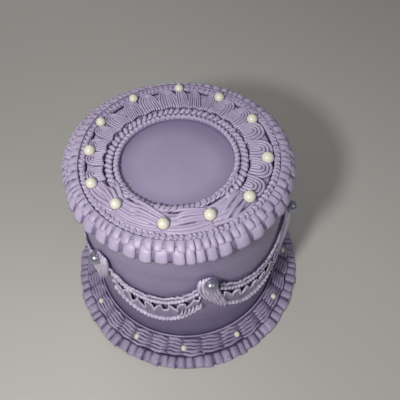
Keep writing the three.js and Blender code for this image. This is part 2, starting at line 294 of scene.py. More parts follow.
def settle(mesh, spots, crease_shade):
    """Puts the corners at spots in mm and marks how much painted shade each gets, most in creases.
    """
    mesh.vertices.foreach_set("co", (spots * MM).ravel())
    mark = mesh.attributes.new("crease_shade", "FLOAT", "POINT")
    mark.data.foreach_set("value", np.clip(crease_shade, 0.0, 1.0))
    mesh.update()
    return mesh


def polar(out, around, up, middle=(0.0, 0.0)):
    out, around, up = np.broadcast_arrays(out, around, up)
    return np.stack(
        [middle[0] + out * np.cos(around), middle[1] + out * np.sin(around), up], axis=1
    )


def reshape(mesh, rule):
    """Moves every corner by a rule on its distance out, azimuth and height in mm."""
    spots = corners(mesh) / MM
    out = np.hypot(spots[:, 0], spots[:, 1])
    around = np.arctan2(spots[:, 1], spots[:, 0])
    out, around, up, crease_shade = rule(out, around, spots[:, 2])
    return settle(mesh, polar(out, around, up), crease_shade + 0.0 * out)


def turned(outline, steps, closed=True):
    """Spins an outline of (out, up) points in mm once round the upright axis."""
    form = bmesh.new()
    verts = [form.verts.new((out * MM, 0.0, up * MM)) for out, up in outline]
    for first, second in zip(verts, verts[1:]):
        form.edges.new((first, second))
    if closed:
        form.edges.new((verts[-1], verts[0]))
    bmesh.ops.spin(
        form, geom=form.verts[:] + form.edges[:], cent=(0, 0, 0), axis=(0, 0, 1),
        angle=math.tau, steps=steps, use_merge=True,
    )
    bmesh.ops.remove_doubles(form, verts=form.verts, dist=1e-7)
    return meshed(form)


side_line = [(CAKE_RADIUS, (CAKE_TOP - TOP_EDGE) * i / SIDE_STEPS) for i in range(SIDE_STEPS + 1)]
edge_line = [
    (CAKE_RADIUS - TOP_EDGE * (1 - math.cos(a)), CAKE_TOP - TOP_EDGE * (1 - math.sin(a)))
    for a in np.linspace(0.2, math.pi / 2, 6)
]
top_line = [
    ((CAKE_RADIUS - TOP_EDGE) * (1 - i / TOP_STEPS), CAKE_TOP) for i in range(1, TOP_STEPS + 1)
]
streak_heights = rng.uniform(4, CAKE_TOP - 6, STREAKS)
streak_depths = rng.uniform(0.03, 0.14, STREAKS)
streak_tilts = rng.uniform(-1.0, 1.0, STREAKS)


def scraped_and_shaded(out, around, up):
    """Level streaks on the side, a slight swell on top, and painted shade: a darker rim on top and
    a darker side, most towards the foot.
    """
    wave = 0.12 * np.sin(2 * around + 0.03 * up) - 0.14
    for height, depth, tilt in zip(streak_heights, streak_depths, streak_tilts):
        level = height + tilt * np.sin(around + 5 * tilt)
        wave = wave + depth * np.exp(-(((up - level) / STREAK_HALF) ** 2))
    on_side = (out > CAKE_RADIUS - 0.01) & (up > 0.5)
    on_top = (up > CAKE_TOP - 0.01) & (out < CAKE_RADIUS - TOP_EDGE - 1)
    x, y = out * np.cos(around), out * np.sin(around)
    swell = 0.10 * np.sin(0.07 * x + 1) * np.sin(0.06 * y) - 0.12
    # Painted shade: rim darkens the top near its edge, more on one side, and low darkens the side,
    # more towards the foot.
    rim = smoothstep(20, 34, out + 7 * np.sin(around + 0.5)) * (up > CAKE_TOP - 1)
    low = SIDE_PAINTED_SHADE + FOOT_PAINTED_SHADE * (1 - smoothstep(15, 75, up))
    low = low * (up > 0.5) * (up < CAKE_TOP - 1)
    return (
        np.where(on_side, out - np.abs(wave), out), around,
        np.where(on_top, up + swell, up), DISC_RIM_PAINTED_SHADE * rim + low,
    )


cake = turned([(0.0, 0.0)] + side_line + edge_line + top_line, CAKE_SIDES, closed=False)
smooth_icing = icing_finish(
    "smooth_icing", (0.445, 0.385, 0.575, 1), (0.375, 0.315, 0.51, 1),
    roughness=0.42, specks=0.0, grain=0.08, mottle=16.0, stretch=(1, 1, 7),
)
finish_piece(reshape(cake, scraped_and_shaded), "iced_cake", smooth_icing, "smooth_icing", "cake_drum")


# The inner row of the rope border: piped with a small star tip, as slanted
# beads side by side at the back and sides and as standing loops in front.
ROPE_LOW, ROPE_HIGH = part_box("rope_inner")
ROPE_MIDDLE = (
    (ROPE_LOW[0] + ROPE_HIGH[0]) / 2 / MM,
    (ROPE_LOW[1] + ROPE_HIGH[1]) / 2 / MM,
)
ROPE_FLOOR = CAKE_TOP + 0.4
INNER_OUT = 36.9
INNER_ENDS = (35.8, 38.2)
INNER_SWEEP = 3.0
INNER_BEADS = 70
LOOP_OUT = 37.3
LOOP_REACH = 1.65
LOOP_SWING = 1.75
LOOP_WIDTH = 0.72
FRONT_LOOPS = 25
LOOP_STATIONS = 14
FRONT_FIRST = math.radians(206)
FRONT_LAST = math.radians(334)
top_piping = icing_finish(
    "top_piping", (0.575, 0.495, 0.69, 1), (0.505, 0.43, 0.63, 1),
    roughness=0.42, specks=0.02, grain=0.25, mottle=60.0,
)


def uneven(count, spread):
    """The azimuths where one fold ends and the next starts, none quite as wide."""
    widths = rng.uniform(1 - spread, 1 + spread, count)
    edges = np.concatenate([[0.0], np.cumsum(widths)])
    return edges / edges[-1] * math.tau


def in_front(azimuth, last=FRONT_LAST):
    return FRONT_FIRST < azimuth % math.tau < last


def blank_stroke(sides, rings):
    """A capped tube, one unit in radius, standing from 0 to 1 along Z."""
    form = bmesh.new()
    made = bmesh.ops.create_cone(
        form, cap_ends=True, segments=sides, radius1=1.0, radius2=1.0, depth=1.0
    )
    bmesh.ops.translate(form, verts=made["verts"], vec=(0, 0, 0.5))
    upright = [e for e in form.edges if abs(e.verts[0].co.z - e.verts[1].co.z) > 0.5]
    bmesh.ops.subdivide_edges(form, edges=upright, cuts=rings - 1, use_grid_fill=True)
    return meshed(form)


def piped(strokes):
    """Joins one blank for each stroke, laid to its place in mm by its own rule."""
    form = bmesh.new()
    laid = []
    for blank, rule in strokes:
        form.from_mesh(blank)
        laid.append(rule(corners(blank)))
    mesh = bpy.data.meshes.new("icing")
    form.to_mesh(mesh)
    form.free()
    return settle(
        mesh, np.concatenate([spots for spots, crease_shade in laid]),
        np.concatenate([crease_shade for spots, crease_shade in laid]),
    )


def up_axis(middle):
    return np.tile(np.array([0.0, 0.0, 1.0]), (len(middle), 1))


def tapered(size, start=0.3, end=0.3):
    """A width that is rounded off over a share of the stroke at each end."""

    def width(along):
        first = 1 - np.clip(along / start, 0.05, 1)
        last = 1 - np.clip((1 - along) / end, 0.05, 1)
        return size * np.sqrt((1 - first ** 2) * (1 - last ** 2))

    return width


def band(path, width, height, upward=up_axis, sink=0.3, tilt=0.0, box=1.0, shade_strength=0.6, shade=None):
    """Rule that lays a blank along a path as a band with a round back, with painted shade towards
    its edges and underside.
    """

    def rule(unit):
        along = unit[:, 2]
        angle = np.mod(np.arctan2(unit[:, 1], unit[:, 0]), math.tau)
        top = 0.62 * math.tau
        theta = np.where(
            angle < top, angle / top * math.pi,
            math.pi + (angle - top) / (math.tau - top) * math.pi,
        )
        middle = path(along)
        ahead = path(np.minimum(along + 0.002, 1.0)) - path(np.maximum(along - 0.002, 0.0))
        ahead = ahead / np.linalg.norm(ahead, axis=1, keepdims=True)
        side = np.cross(upward(middle), ahead)
        side = side / np.linalg.norm(side, axis=1, keepdims=True)
        lift = np.cross(ahead, side)
        wide = width(along) if callable(width) else width
        high = height(along) if callable(height) else height
        rise = np.abs(np.sin(theta)) ** box
        across = wide * np.cos(theta)
        above = np.where(theta <= math.pi, high * rise, -high * sink * rise) + tilt * across
        # Painted shade towards the band's edges and all over its underside.
        crease_shade = shade_strength * np.where(theta <= math.pi, 1 - rise, 1.0) ** 1.8
        if shade:
            crease_shade = crease_shade + shade(along)
        return middle + side * across[:, None] + lift * above[:, None], crease_shade

    return rule


def ring_path(radius, height, middle=(0.0, 0.0)):
    """A level ring about a middle, all in mm."""
    return lambda along: polar(radius, along * math.tau, height, middle)


def bead(azimuth, ends, sweep, low, high, middle=(0.0, 0.0)):
    """Path of one short slanted stroke across a border, rising over its crest."""

    def path(along):
        out = ends[0] + (ends[1] - ends[0]) * along
        up = low + (high - low) * np.sin(math.pi * along) ** 0.8
        bend = along + 0.12 * np.sin(math.tau * along)
        return polar(out, azimuth + sweep * bend / out, up, middle)

    return path


def front_loops(along):
    """Path of the standing loops along the front, one unbroken line."""
    phase = along * FRONT_LOOPS * math.tau
    sway = 1 + 0.16 * np.sin(along * 41) + 0.1 * np.sin(along * 97 + 1)
    around = FRONT_FIRST + (FRONT_LAST - FRONT_FIRST) * along
    out = LOOP_OUT + LOOP_REACH * sway * np.cos(phase)
    up = CAKE_TOP + 2.6 + 1.0 * np.sin(phase + 0.5) * sway
    return polar(out, around + LOOP_SWING * sway * np.sin(phase) / LOOP_OUT, up, ROPE_MIDDLE)


bead_blank = blank_stroke(8, 6)
short_blank = blank_stroke(8, 10)
ring_blank = blank_stroke(8, 120)
loop_blank = blank_stroke(8, FRONT_LOOPS * LOOP_STATIONS)
inner_bed = ring_path(INNER_OUT, ROPE_FLOOR, middle=ROPE_MIDDLE)
inner_rope = [
    (ring_blank, band(inner_bed, 1.7, 2.8, sink=0.05, box=0.7)),
    (loop_blank, band(front_loops, LOOP_WIDTH, LOOP_WIDTH, sink=1.0)),
]
for azimuth in uneven(INNER_BEADS, 0.14)[:-1]:
    if in_front(azimuth):
        continue
    high = CAKE_TOP + rng.uniform(2.4, 3.0)
    path = bead(azimuth, INNER_ENDS, INNER_SWEEP, CAKE_TOP + 1.5, high, ROPE_MIDDLE)
    width = tapered(rng.uniform(1.3, 1.55))
    inner_rope.append((bead_blank, band(path, width, tapered(1.4))))
finish_piece(piped(inner_rope), "inner_rope_piping", top_piping, "top_piping", "rope_inner")


# The outer row of the rope border: wider strokes curved like an S, leaning against
# the inner row. In front it is only a low bed, with the scrolls piped over it.
OUTER_OUT = 41.4
OUTER_ENDS = (39.9, 43.1)
OUTER_BEADS = 68
OUTER_FRONT_LAST = math.radians(313)
outer_bed = ring_path(OUTER_OUT, ROPE_FLOOR, middle=ROPE_MIDDLE)
outer_rope = [(ring_blank, band(outer_bed, 2.2, 1.9, sink=0.05, box=0.6))]
for azimuth in uneven(OUTER_BEADS, 0.16)[:-1]:
    if in_front(azimuth, OUTER_FRONT_LAST):
        continue
    high = CAKE_TOP + rng.uniform(2.6, 3.1)
    sweep = rng.uniform(-4.6, -3.4)
    path = bead(azimuth, OUTER_ENDS, sweep, CAKE_TOP + 1.6, high, ROPE_MIDDLE)
    width = tapered(rng.uniform(1.35, 1.7), 0.2, 0.2)
    outer_rope.append((short_blank, band(path, width, tapered(1.5, 0.2, 0.2))))
finish_piece(piped(outer_rope), "outer_rope_piping", top_piping, "top_piping", "rope_outer")


# The scrolls: at the back and sides an open star tip run out, round and back as
# nested horseshoes, and in front long ridged strokes from pearl to pearl.
TOP_PEARLS = 12
FRONT_GAPS = 4
SCROLLS_PER_GAP = [2, 2, 2, 3, 2, 2, 2, 2]
SCROLL_FLOOR = ROPE_FLOOR
SCROLL_OUTER = 57.5
SCROLL_MIDDLE = 53.5
SCROLL_STARTS = 44.0
SCROLL_BACK_REACH = 3.0
WIDE_SCROLL = 11.0
ARC_SHARE = 0.53
ARCH_ROUND = 0.75
BED_INNER = 44.1
BED_OUTER = 57.4
LONG_RIDGES = 8
LONG_START = (-5.2, 1.45)
LONG_END = (42.2, 2.05)
UPPER_RIDGES = 5
UPPER_START = (42.8, 2.35)
UPPER_END = (-4.6, 1.6)
LAST_START = (49.5, 2.0)
LAST_END = (44.0, 2.1)
RAYS = 4
RAY_REACH = 57.2
BACK_SHIFT = 2.9
BACK_MIDDLE = math.radians(118)
BACK_HALF = math.radians(44)
PEARL_GAP = 0.25


def pearl_places(node_name, count):
    """Middle and radius in mm of every pearl of one kind."""
    places = []
    for number in range(1, count + 1):
        low, high = (np.array(corner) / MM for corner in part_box(f"{node_name}_{number}"))
        radius = float(max(high - low)) / 2
        middle = np.array([(low[0] + high[0]) / 2, (low[1] + high[1]) / 2, high[2] - radius])
        places.append((middle, radius))
    return places


def pressed(mesh, pearls):
    """Dents the icing round the pearls pushed into it."""
    spots = corners(mesh) / MM
    for middle, radius in pearls:
        away = spots - middle
        far = np.linalg.norm(away, axis=1, keepdims=True)
        inside = far[:, 0] < radius + PEARL_GAP
        spots[inside] = middle + away[inside] / far[inside] * (radius + PEARL_GAP)
    mesh.vertices.foreach_set("co", (spots * MM).ravel())
    mesh.update()
    return mesh


def back_share(around):
    """How far an azimuth lies at the back left, where the scrolls reach out."""
    away = np.mod(around - BACK_MIDDLE + math.pi, math.tau) - math.pi
    return np.exp(-((away / BACK_HALF) ** 4))


def horseshoe(azimuth, half, reach, start, lean, lift):
    """Path out, round and back as a long arch, its legs closing inwards."""

    def path(along):
        swing = math.pi * along
        share = np.abs(np.sin(swing)) ** ARCH_ROUND
        out = start + (reach - start) * share
        leg = np.sign(np.cos(swing)) * np.abs(np.cos(swing)) ** ARCH_ROUND
        across = -half * leg * (0.86 + 0.14 * share)
        up = SCROLL_FLOOR + lift + 0.4 * share + 0.09 * across
        return polar(out, azimuth + (across + lean * (out - start)) / out, up)

    return path


def arch_width(size):
    return lambda along: size * (0.86 + 0.14 * np.abs(np.sin(math.pi * along)) ** ARCH_ROUND)


def front_ridge(ends, outs, bow, rise):
    """Path of one long ridge along the front, bowed and lifted in its middle."""

    def path(along):
        out = outs[0] + (outs[1] - outs[0]) * smoothstep(-0.1, 1.1, along)
        out = out + bow * np.sin(math.pi * along)
        up = SCROLL_FLOOR + 1.2 + rise * np.sin(math.pi * along) ** 0.6
        return polar(out, ends[0] + (ends[1] - ends[0]) * along, up)

    return path


top_pearls = pearl_places("top_pearl", TOP_PEARLS)
pearl_azimuths = [math.atan2(middle[1], middle[0]) for middle, radius in top_pearls]
pearl_outs = [math.hypot(middle[0], middle[1]) for middle, radius in top_pearls]
leg_blank = blank_stroke(8, 44)


def scroll_bed(along):
    """Inner and outer edge of the icing under the scrolls, and the azimuth."""
    around = along * math.tau
    inner = BED_INNER + ROPE_MIDDLE[0] * np.cos(around) + ROPE_MIDDLE[1] * np.sin(around)
    outer = BED_OUTER + BACK_SHIFT * back_share(around)
    return inner, outer, around


def scroll_bed_path(along):
    inner, outer, around = scroll_bed(along)
    return polar((inner + outer) / 2, around, SCROLL_FLOOR)


def scroll_bed_width(along):
    inner, outer, around = scroll_bed(along)
    return (outer - inner) / 2


def fanned(place, ridge):
    """Distance out of one ridge: that of the first, and a step for each next."""
    return place[0] + place[1] * ridge


def ray_path(start, end):
    """Path of one short stroke from beside a pearl out to the braid."""

    def path(along):
        out = start[0] + (end[0] - start[0]) * along
        around = start[1] + (end[1] - start[1]) * along
        return polar(out, around, SCROLL_FLOOR + 2.2 - 0.6 * along)

    return path


def front_scroll(gap, first, span):
    """Two layers of long ridges from one pearl to the next, and rays beside it."""
    strokes = []
    for ridge in range(LONG_RIDGES):
        ends = (first - 0.03 + rng.uniform(-0.02, 0.02), first + span + 0.04)
        outs = (pearl_outs[gap] + fanned(LONG_START, ridge), fanned(LONG_END, ridge))
        path = front_ridge(ends, outs, rng.uniform(-0.2, 1.6), rng.uniform(0.1, 0.9))
        width = tapered(rng.uniform(1.25, 1.5), 0.2, 0.15)
        strokes.append((leg_blank, band(path, width, tapered(1.7, 0.2, 0.2), shade_strength=0.8)))
    for ridge in range(UPPER_RIDGES):
        ends = (first + span * rng.uniform(0.08, 0.36), first + span + 0.02)
        outs = (fanned(UPPER_START, ridge), pearl_outs[gap + 1] + fanned(UPPER_END, ridge))
        if gap == FRONT_GAPS - 1:
            outs = (fanned(LAST_START, ridge), fanned(LAST_END, ridge))
        path = front_ridge(ends, outs, rng.uniform(-1.9, -0.6), rng.uniform(1.6, 2.4))
        width = tapered(rng.uniform(1.05, 1.4), 0.35, 0.12)
        strokes.append((leg_blank, band(path, width, tapered(1.7, 0.35, 0.2), shade_strength=0.8)))
    for ray in range(RAYS):
        start = (pearl_outs[gap] + 0.5 - ray, first - 0.01)
        end = (RAY_REACH - 1.2 * ray, first - math.radians(2.0 + 2.6 * ray))
        strokes.append((short_blank, band(ray_path(start, end), tapered(0.85), tapered(1.3))))
    return strokes


def nested_scroll(middle, room):
    """Horseshoes one inside another, as the points of the star leave them."""
    far_back = SCROLL_BACK_REACH * float(back_share(middle))
    reach = SCROLL_OUTER + far_back + rng.uniform(-0.5, 0.3)
    arcs = 4 if room > WIDE_SCROLL else 3
    step = room * ARC_SHARE / arcs
    along_axis = ROPE_MIDDLE[0] * math.cos(middle) + ROPE_MIDDLE[1] * math.sin(middle)
    start = SCROLL_STARTS + along_axis
    lean = rng.uniform(-0.12, 0.28) * (1 if middle % math.tau < math.pi / 2 else -1)
    strokes = []
    for arc in range(arcs):
        half = step * (arc + 0.45)
        lift = 1.2 + 0.9 * (1 - arc / arcs)
        far = reach - step * (arcs - 1 - arc) - step * 0.5
        path = horseshoe(middle, half, far, start + 0.3 * (arcs - arc), lean, lift)
        strokes.append((leg_blank, band(path, arch_width(step * 0.5), 2.0, shade_strength=0.95)))
    return strokes


bed_rule = band(scroll_bed_path, scroll_bed_width, 1.3, sink=0.02, box=0.25, shade_strength=0.5)
scrolls = [(ring_blank, bed_rule)]
for gap in range(TOP_PEARLS):
    first = pearl_azimuths[gap]
    span = (pearl_azimuths[(gap + 1) % TOP_PEARLS] - first) % math.tau
    if gap < FRONT_GAPS:
        scrolls += front_scroll(gap, first, span)
        continue
    count = SCROLLS_PER_GAP[gap - FRONT_GAPS]
    for index in range(count):
        middle = first + span * (index + 0.5) / count + rng.uniform(-0.012, 0.012)
        scrolls += nested_scroll(middle, span / count * SCROLL_MIDDLE)
scroll_mesh = pressed(piped(scrolls), top_pearls)
finish_piece(scroll_mesh, "scroll_piping", top_piping, "top_piping", "scroll_ring")


# The braid outside the scrolls: short slanted leaves in two files that meet like
# a plait, pushed outwards at the back left by the wider scrolls.
BRAID_OUT = 59.5
BRAID_FILES = ((58.1, 60.0), (61.3, 59.4))
BRAID_LEAVES = 112
LEAF_SWEEP = 2.6
RIM_BACK = math.radians(146)
RIM_HALF = math.radians(32)


def rim_share(around):
    """How far an azimuth lies at the left back, where the whole rim is wider."""
    away = np.mod(around - RIM_BACK + math.pi, math.tau) - math.pi
    return np.exp(-((away / RIM_HALF) ** 4))


def braid_bed(along):
    around = along * math.tau
    return polar(BRAID_OUT + BACK_SHIFT * back_share(around), around, CAKE_TOP + 0.5)


braid = [(ring_blank, band(braid_bed, 1.82, 2.7, sink=0.02, box=0.2, shade_strength=0.5))]
for azimuth in uneven(BRAID_LEAVES, 0.3)[:-1]:
    shift = BACK_SHIFT * float(back_share(azimuth))
    for ends in BRAID_FILES:
        stray = rng.uniform(-0.3, 0.2)
        outs = (ends[0] + shift + stray, ends[1] + shift + stray)
        high = CAKE_TOP + rng.uniform(2.8, 3.3)
        path = bead(azimuth, outs, LEAF_SWEEP + rng.uniform(-0.5, 0.7), CAKE_TOP + 2.2, high)
        width = tapered(rng.uniform(0.85, 1.25))
        braid.append((short_blank, band(path, width, tapered(1.3), tilt=0.3, shade_strength=0.7)))
braid_mesh = pressed(piped(braid), top_pearls)
finish_piece(braid_mesh, "rim_braid_piping", top_piping, "top_piping", "rim_braid")


# The rim ruffle: a petal tip wagged as it went round, so that a thin ribbon stands
# in uneven folds that double back; a short tier lies on top of the long skirt.
SKIRT_FOLDS = 54
TIER_FOLDS = 82
SHEET_STEPS = 1100
SHEET_RUNGS = 9
LEAF_FOLDS = 98
RIM_SHIFT = 2.7
RIM_INNER_SHIFT = 2.5
RIM_RISE = (61.9, 68.0)
LEAFY_FIRST = math.radians(104)
LEAFY_LAST = math.radians(192)
LEAF_ROWS = (
    ((62.4, 2.0), (64.6, 3.9), (66.4, 2.2), 2.6),
    ((65.2, 2.0), (68.2, 3.0), (69.6, 0.9), -2.2),
    ((68.0, 1.0), (70.8, 1.0), (71.4, -3.6), 1.2),
)
BASE_LINE = [
    (61.6, 0.6), (61.6, 3.9), (64.5, 3.6), (67.0, 1.3), (69.3, -0.9), (70.2, -2.8),
    (69.6, -3.0), (68.4, -1.6), (66.5, 0.4), (64.0, 0.6),
]


def ruffle_shift(around, out):
    """The rim's own spread at an azimuth: inner edge pushed out, hem widened."""
    rise = smoothstep(*RIM_RISE, out)
    return RIM_INNER_SHIFT * back_share(around) * (1 - rise) + RIM_SHIFT * rim_share(around) * rise


def rounded_line(points, count, base):
    """Spaces points evenly along a closed outline, its heights set on a base."""
    ends = np.array(points + points[:1], dtype=float)
    steps = np.concatenate([[0], np.cumsum(np.hypot(*np.diff(ends, axis=0).T))])
    places = np.linspace(0, steps[-1], count, endpoint=False)
    outs = np.interp(places, steps, ends[:, 0])
    ups = np.interp(places, steps, ends[:, 1])
    return [(out, up + base) for out, up in zip(outs, ups)]


# Painted shade on the icing under the ruffle, darkest towards its outer edge.
def under_skirt(out, around, up):
    return out + ruffle_shift(around, out), around, up, 0.35 + 0.5 * smoothstep(67, 69, out)


def fold_path(azimuth, start, knee, hem, sweep):
    """Path of one fold from its root over a knee and down to its hem."""

    def path(along):
        parts = ((1 - along) ** 2, 2 * along * (1 - along), along ** 2)
        out = parts[0] * start[0] + parts[1] * knee[0] + parts[2] * hem[0]
        up = parts[0] * start[1] + parts[1] * knee[1] + parts[2] * hem[1]
        around = azimuth + sweep * along / out
        return polar(out + ruffle_shift(around, out), around, CAKE_TOP + up)

    return path


def slope_axis(middle):
    """Outward and up, square to a slope that falls away from the cake."""
    away = middle * np.array([1.0, 1.0, 0.0])
    away = away / np.linalg.norm(away, axis=1, keepdims=True)
    return away * 0.62 + np.array([0.0, 0.0, 0.78])


def flared(first, last):
    return lambda along: first + (last - first) * along


def frilled(root, knee, hem, folds, spread, deep, double, lean, thick, plump):
    """A thin ribbon round the cake whose folds grow from its root to its hem."""
    shares = np.linspace(0, 1, SHEET_RUNGS)
    outline = [(1 + share, 0.5) for share in shares] + [(1 + share, -0.5) for share in shares[::-1]]
    mesh = turned(outline, SHEET_STEPS)
    spots = corners(mesh) / MM
    share = np.hypot(spots[:, 0], spots[:, 1]) - 1
    face = np.sign(spots[:, 2])
    around = np.mod(np.arctan2(spots[:, 1], spots[:, 0]), math.tau)
    edges = uneven(folds, spread)
    phase = np.interp(around, edges, np.arange(folds + 1) * math.tau)
    strength = rng.uniform(0.5, 1.15, folds)
    strength = np.interp(around, edges, np.append(strength, strength[0]))
    droop = rng.uniform(-0.6, 0.6, folds)
    droop = np.interp(around, edges, np.append(droop, droop[0])) + 0.2 * np.sin(1.5 * phase)

    parts = ((1 - share) ** 2, 2 * share * (1 - share), share ** 2)
    out = parts[0] * root[0] + parts[1] * knee[0] + parts[2] * hem[0]
    up = parts[0] * root[1] + parts[1] * knee[1] + parts[2] * hem[1] + droop * share ** 2
    out_step = (1 - share) * (knee[0] - root[0]) + share * (hem[0] - knee[0])
    up_step = (1 - share) * (knee[1] - root[1]) + share * (hem[1] - knee[1])
    length = np.hypot(out_step, up_step)

    pitch = hem[0] / folds
    open_share = share ** 0.8 * strength
    depth = deep * open_share
    turn_back = double * open_share
    fold = phase - plump * np.sin(phase)
    pace = 1 - plump * np.cos(phase)
    run = pitch * (1 + 2 * turn_back * np.cos(2 * fold) * pace)
    level = 0.6 * np.cos(fold) + 0.4 * np.cos(phase)
    dip = -depth * (0.6 * np.sin(fold) * pace + 0.4 * np.sin(phase))
    size = np.hypot(run, dip)
    aside = pitch * turn_back * np.sin(2 * fold) - face * thick * dip / size
    away = depth * level + face * thick * run / size
    aside = aside + lean * depth * level
    out = out - away * up_step / length
    up = up + away * out_step / length
    # Painted shade in the valleys of the folds, growing towards the hem, and all over the sheet's
    # back face.
    crease_shade = 0.85 * (0.5 - 0.5 * level) ** 1.3 * np.clip(0.35 + share, 0, 1)
    crease_shade = np.where(face > 0, crease_shade, 0.8)
    return settle(mesh, polar(
        out + ruffle_shift(around, out), around + aside / out, CAKE_TOP + up), crease_shade)


def is_leafy(azimuth):
    return LEAFY_FIRST < azimuth % math.tau < LEAFY_LAST


ruffle = []
for azimuth in uneven(LEAF_FOLDS, 0.2)[:-1]:
    if not is_leafy(azimuth):
        continue
    for start, knee, hem, sweep in LEAF_ROWS:
        stray = np.array([rng.uniform(-0.4, 0.4), rng.uniform(-0.3, 0.3)])
        sweep = sweep + rng.uniform(-1, 1)
        path = fold_path(azimuth, start + stray, knee + stray, hem + stray, sweep)
        width = tapered(rng.uniform(1.6, 2.1))
        ruffle.append((bead_blank, band(path, width, tapered(1.5), slope_axis, tilt=0.3)))
base_mesh = reshape(turned(rounded_line(BASE_LINE, 26, CAKE_TOP), 200), under_skirt)
skirt = frilled(
    root=(63.6, 3.0), knee=(69.0, 2.8), hem=(70.2, -4.2), folds=SKIRT_FOLDS, spread=0.5,
    deep=1.5, double=0.8, lean=0.4, thick=0.35, plump=0.75,
)
tier = frilled(
    root=(61.3, 4.2), knee=(64.2, 5.4), hem=(67.2, 2.2), folds=TIER_FOLDS, spread=0.45,
    deep=0.9, double=0.7, lean=0.6, thick=0.3, plump=0.6,
)


def joined(*meshes):
    """One mesh of several, each keeping its own crease marks."""
    form = bmesh.new()
    for mesh in meshes:
        form.from_mesh(mesh)
    mesh = bpy.data.meshes.new("icing")
    form.to_mesh(mesh)
    form.free()
    return mesh


ruffle_mesh = joined(piped(ruffle), skirt, tier, base_mesh)
finish_piece(ruffle_mesh, "rim_ruffle_piping", top_piping, "top_piping", "rim_ruffle")


# The sugar pearls on top: hard round dragees with a cream shell, pressed a
# little way into the soft icing.
def pearl_finish(name, colour, metallic, roughness, coat):
    finish = bpy.data.materials.new(name)
    finish.use_nodes = True
    nodes, links = finish.node_tree.nodes, finish.node_tree.links
    shader = nodes["Principled BSDF"]
    shader.inputs["Metallic"].default_value = metallic
    shader.inputs["Coat Weight"].default_value = coat
    shader.inputs["Coat Roughness"].default_value = 0.12
    place = nodes.new("ShaderNodeTexCoord")
    cloud = nodes.new("ShaderNodeTexNoise")
    cloud.inputs["Scale"].default_value = 420.0
    links.new(place.outputs["Object"], cloud.inputs["Vector"])
    tint = nodes.new("ShaderNodeMix")
    tint.data_type = "RGBA"
    tint.inputs["A"].default_value = colour
    tint.inputs["B"].default_value = tuple(0.86 * part for part in colour[:3]) + (1.0,)
    links.new(cloud.outputs["Fac"], tint.inputs["Factor"])
    links.new(tint.outputs["Result"], shader.inputs["Base Color"])
    dull = nodes.new("ShaderNodeMapRange")
    dull.inputs["To Min"].default_value = roughness - 0.06
    dull.inputs["To Max"].default_value = roughness + 0.08
    links.new(cloud.outputs["Fac"], dull.inputs["Value"])
    links.new(dull.outputs["Result"], shader.inputs["Roughness"])
    return finish


def add_pearls(node_name, pearls, finish, slot, sides=32):
    for number, (middle, radius) in enumerate(pearls, start=1):
        form = bmesh.new()
        bmesh.ops.create_uvsphere(
            form, u_segments=sides, v_segments=sides // 2, radius=radius * MM
        )
        bmesh.ops.translate(form, verts=form.verts, vec=(middle * MM).tolist())
        node = f"{node_name}_{number}"
        finish_piece(meshed(form), node + "_sugar", finish, slot, node)


white_pearl = pearl_finish(
    "white_pearl", (0.97, 0.94, 0.79, 1.0), metallic=0.0, roughness=0.26, coat=0.5
)
add_pearls("top_pearl", top_pearls, white_pearl, "white_pearl")


# The swags: two thin ribbons hung from tassel to tassel, one above the other, each
# held along its lower edge by a beaded string and edged with a fine one. The icing
# of the swags and tassels is brushed with pearl dust.
SWAG_COUNT = 6
SWAG_END = math.radians(5.4)
UPPER_RIBBON = (81.5, 13.2)
LOWER_RIBBON = (61.0, 18.6)
UPPER_STRING = (78.6, 13.1)
LOWER_STRING = (61.0, 18.8)
UPPER_BEADS = 26
LOWER_BEADS = 23
UPPER_STATIONS = 33
LOWER_STATIONS = 17
RIBBON_THICKNESS = 0.8
DROPS = 6
WALL = CAKE_RADIUS
tassel_pearls = pearl_places("tassel_pearl", SWAG_COUNT)
tassel_azimuths = [math.atan2(middle[1], middle[0]) for middle, radius in tassel_pearls]
side_piping = icing_finish(
    "side_piping", (0.80, 0.73, 0.90, 1), (0.55, 0.49, 0.67, 1),
    roughness=0.30, specks=0.16, grain=0.25, mottle=140.0,
)
string_blank = blank_stroke(10, 110)
ribbon_blank = blank_stroke(24, 130)


def out_axis(middle):
    away = middle * np.array([1.0, 1.0, 0.0])
    return away / np.linalg.norm(away, axis=1, keepdims=True)


def hung_path(ends, high, sag, proud, wave, phase):
    """Path that hangs across the side between two azimuths."""

    def path(along):
        ripple = wave * (np.sin(along * 96 + phase) + 0.5 * np.sin(along * 37 + 2 * phase))
        up = high - sag * (1 - np.abs(2 * along - 1) ** 2.2) + ripple
        return polar(WALL + proud, ends[0] + (ends[1] - ends[0]) * along, up)

    return path


def beaded(size, beads):
    return lambda along: size * (0.55 + 0.45 * np.abs(np.sin(math.pi * beads * along)) ** 0.7)


def draped(ends, high, sag, frees, stands):
    """Place across a thin ribbon held at its lower edge, its upper edge free."""

    def place(along, share, thick):
        wander = 0.5 - 0.5 * np.cos(math.pi * np.mod(along * (len(frees) - 1), 1.0))
        index = np.minimum((along * (len(frees) - 1)).astype(int), len(frees) - 2)
        tall = frees[index] * (1 - wander) + frees[index + 1] * wander
        tall = tall * (1 - 0.25 * np.abs(2 * along - 1) ** 2.2)
        stand = stands[index] * (1 - wander) + stands[index + 1] * wander
        proud = 0.9 + share ** 1.4 * stand + thick
        up = high - sag * (1 - np.abs(2 * along - 1) ** 2.2) + share * tall
        sway = 0.012 * share * np.sin(along * 70)
        around = ends[0] + (ends[1] - ends[0]) * along + sway
        return polar(WALL + proud, around, up)

    return place


def ribbon_rule(place):
    """Rule that flattens a tube into a ribbon across the places given, with painted shade over it,
    a little less near its free edge.
    """

    def rule(unit):
        angle = np.arctan2(unit[:, 1], unit[:, 0])
        share = 0.5 + 0.5 * np.cos(angle)
        # Painted shade over the whole ribbon, a little less towards its free upper edge.
        crease_shade = 0.84 - 0.25 * share ** 3
        return place(unit[:, 2], share, RIBBON_THICKNESS / 2 * np.sin(angle)), crease_shade

    return rule


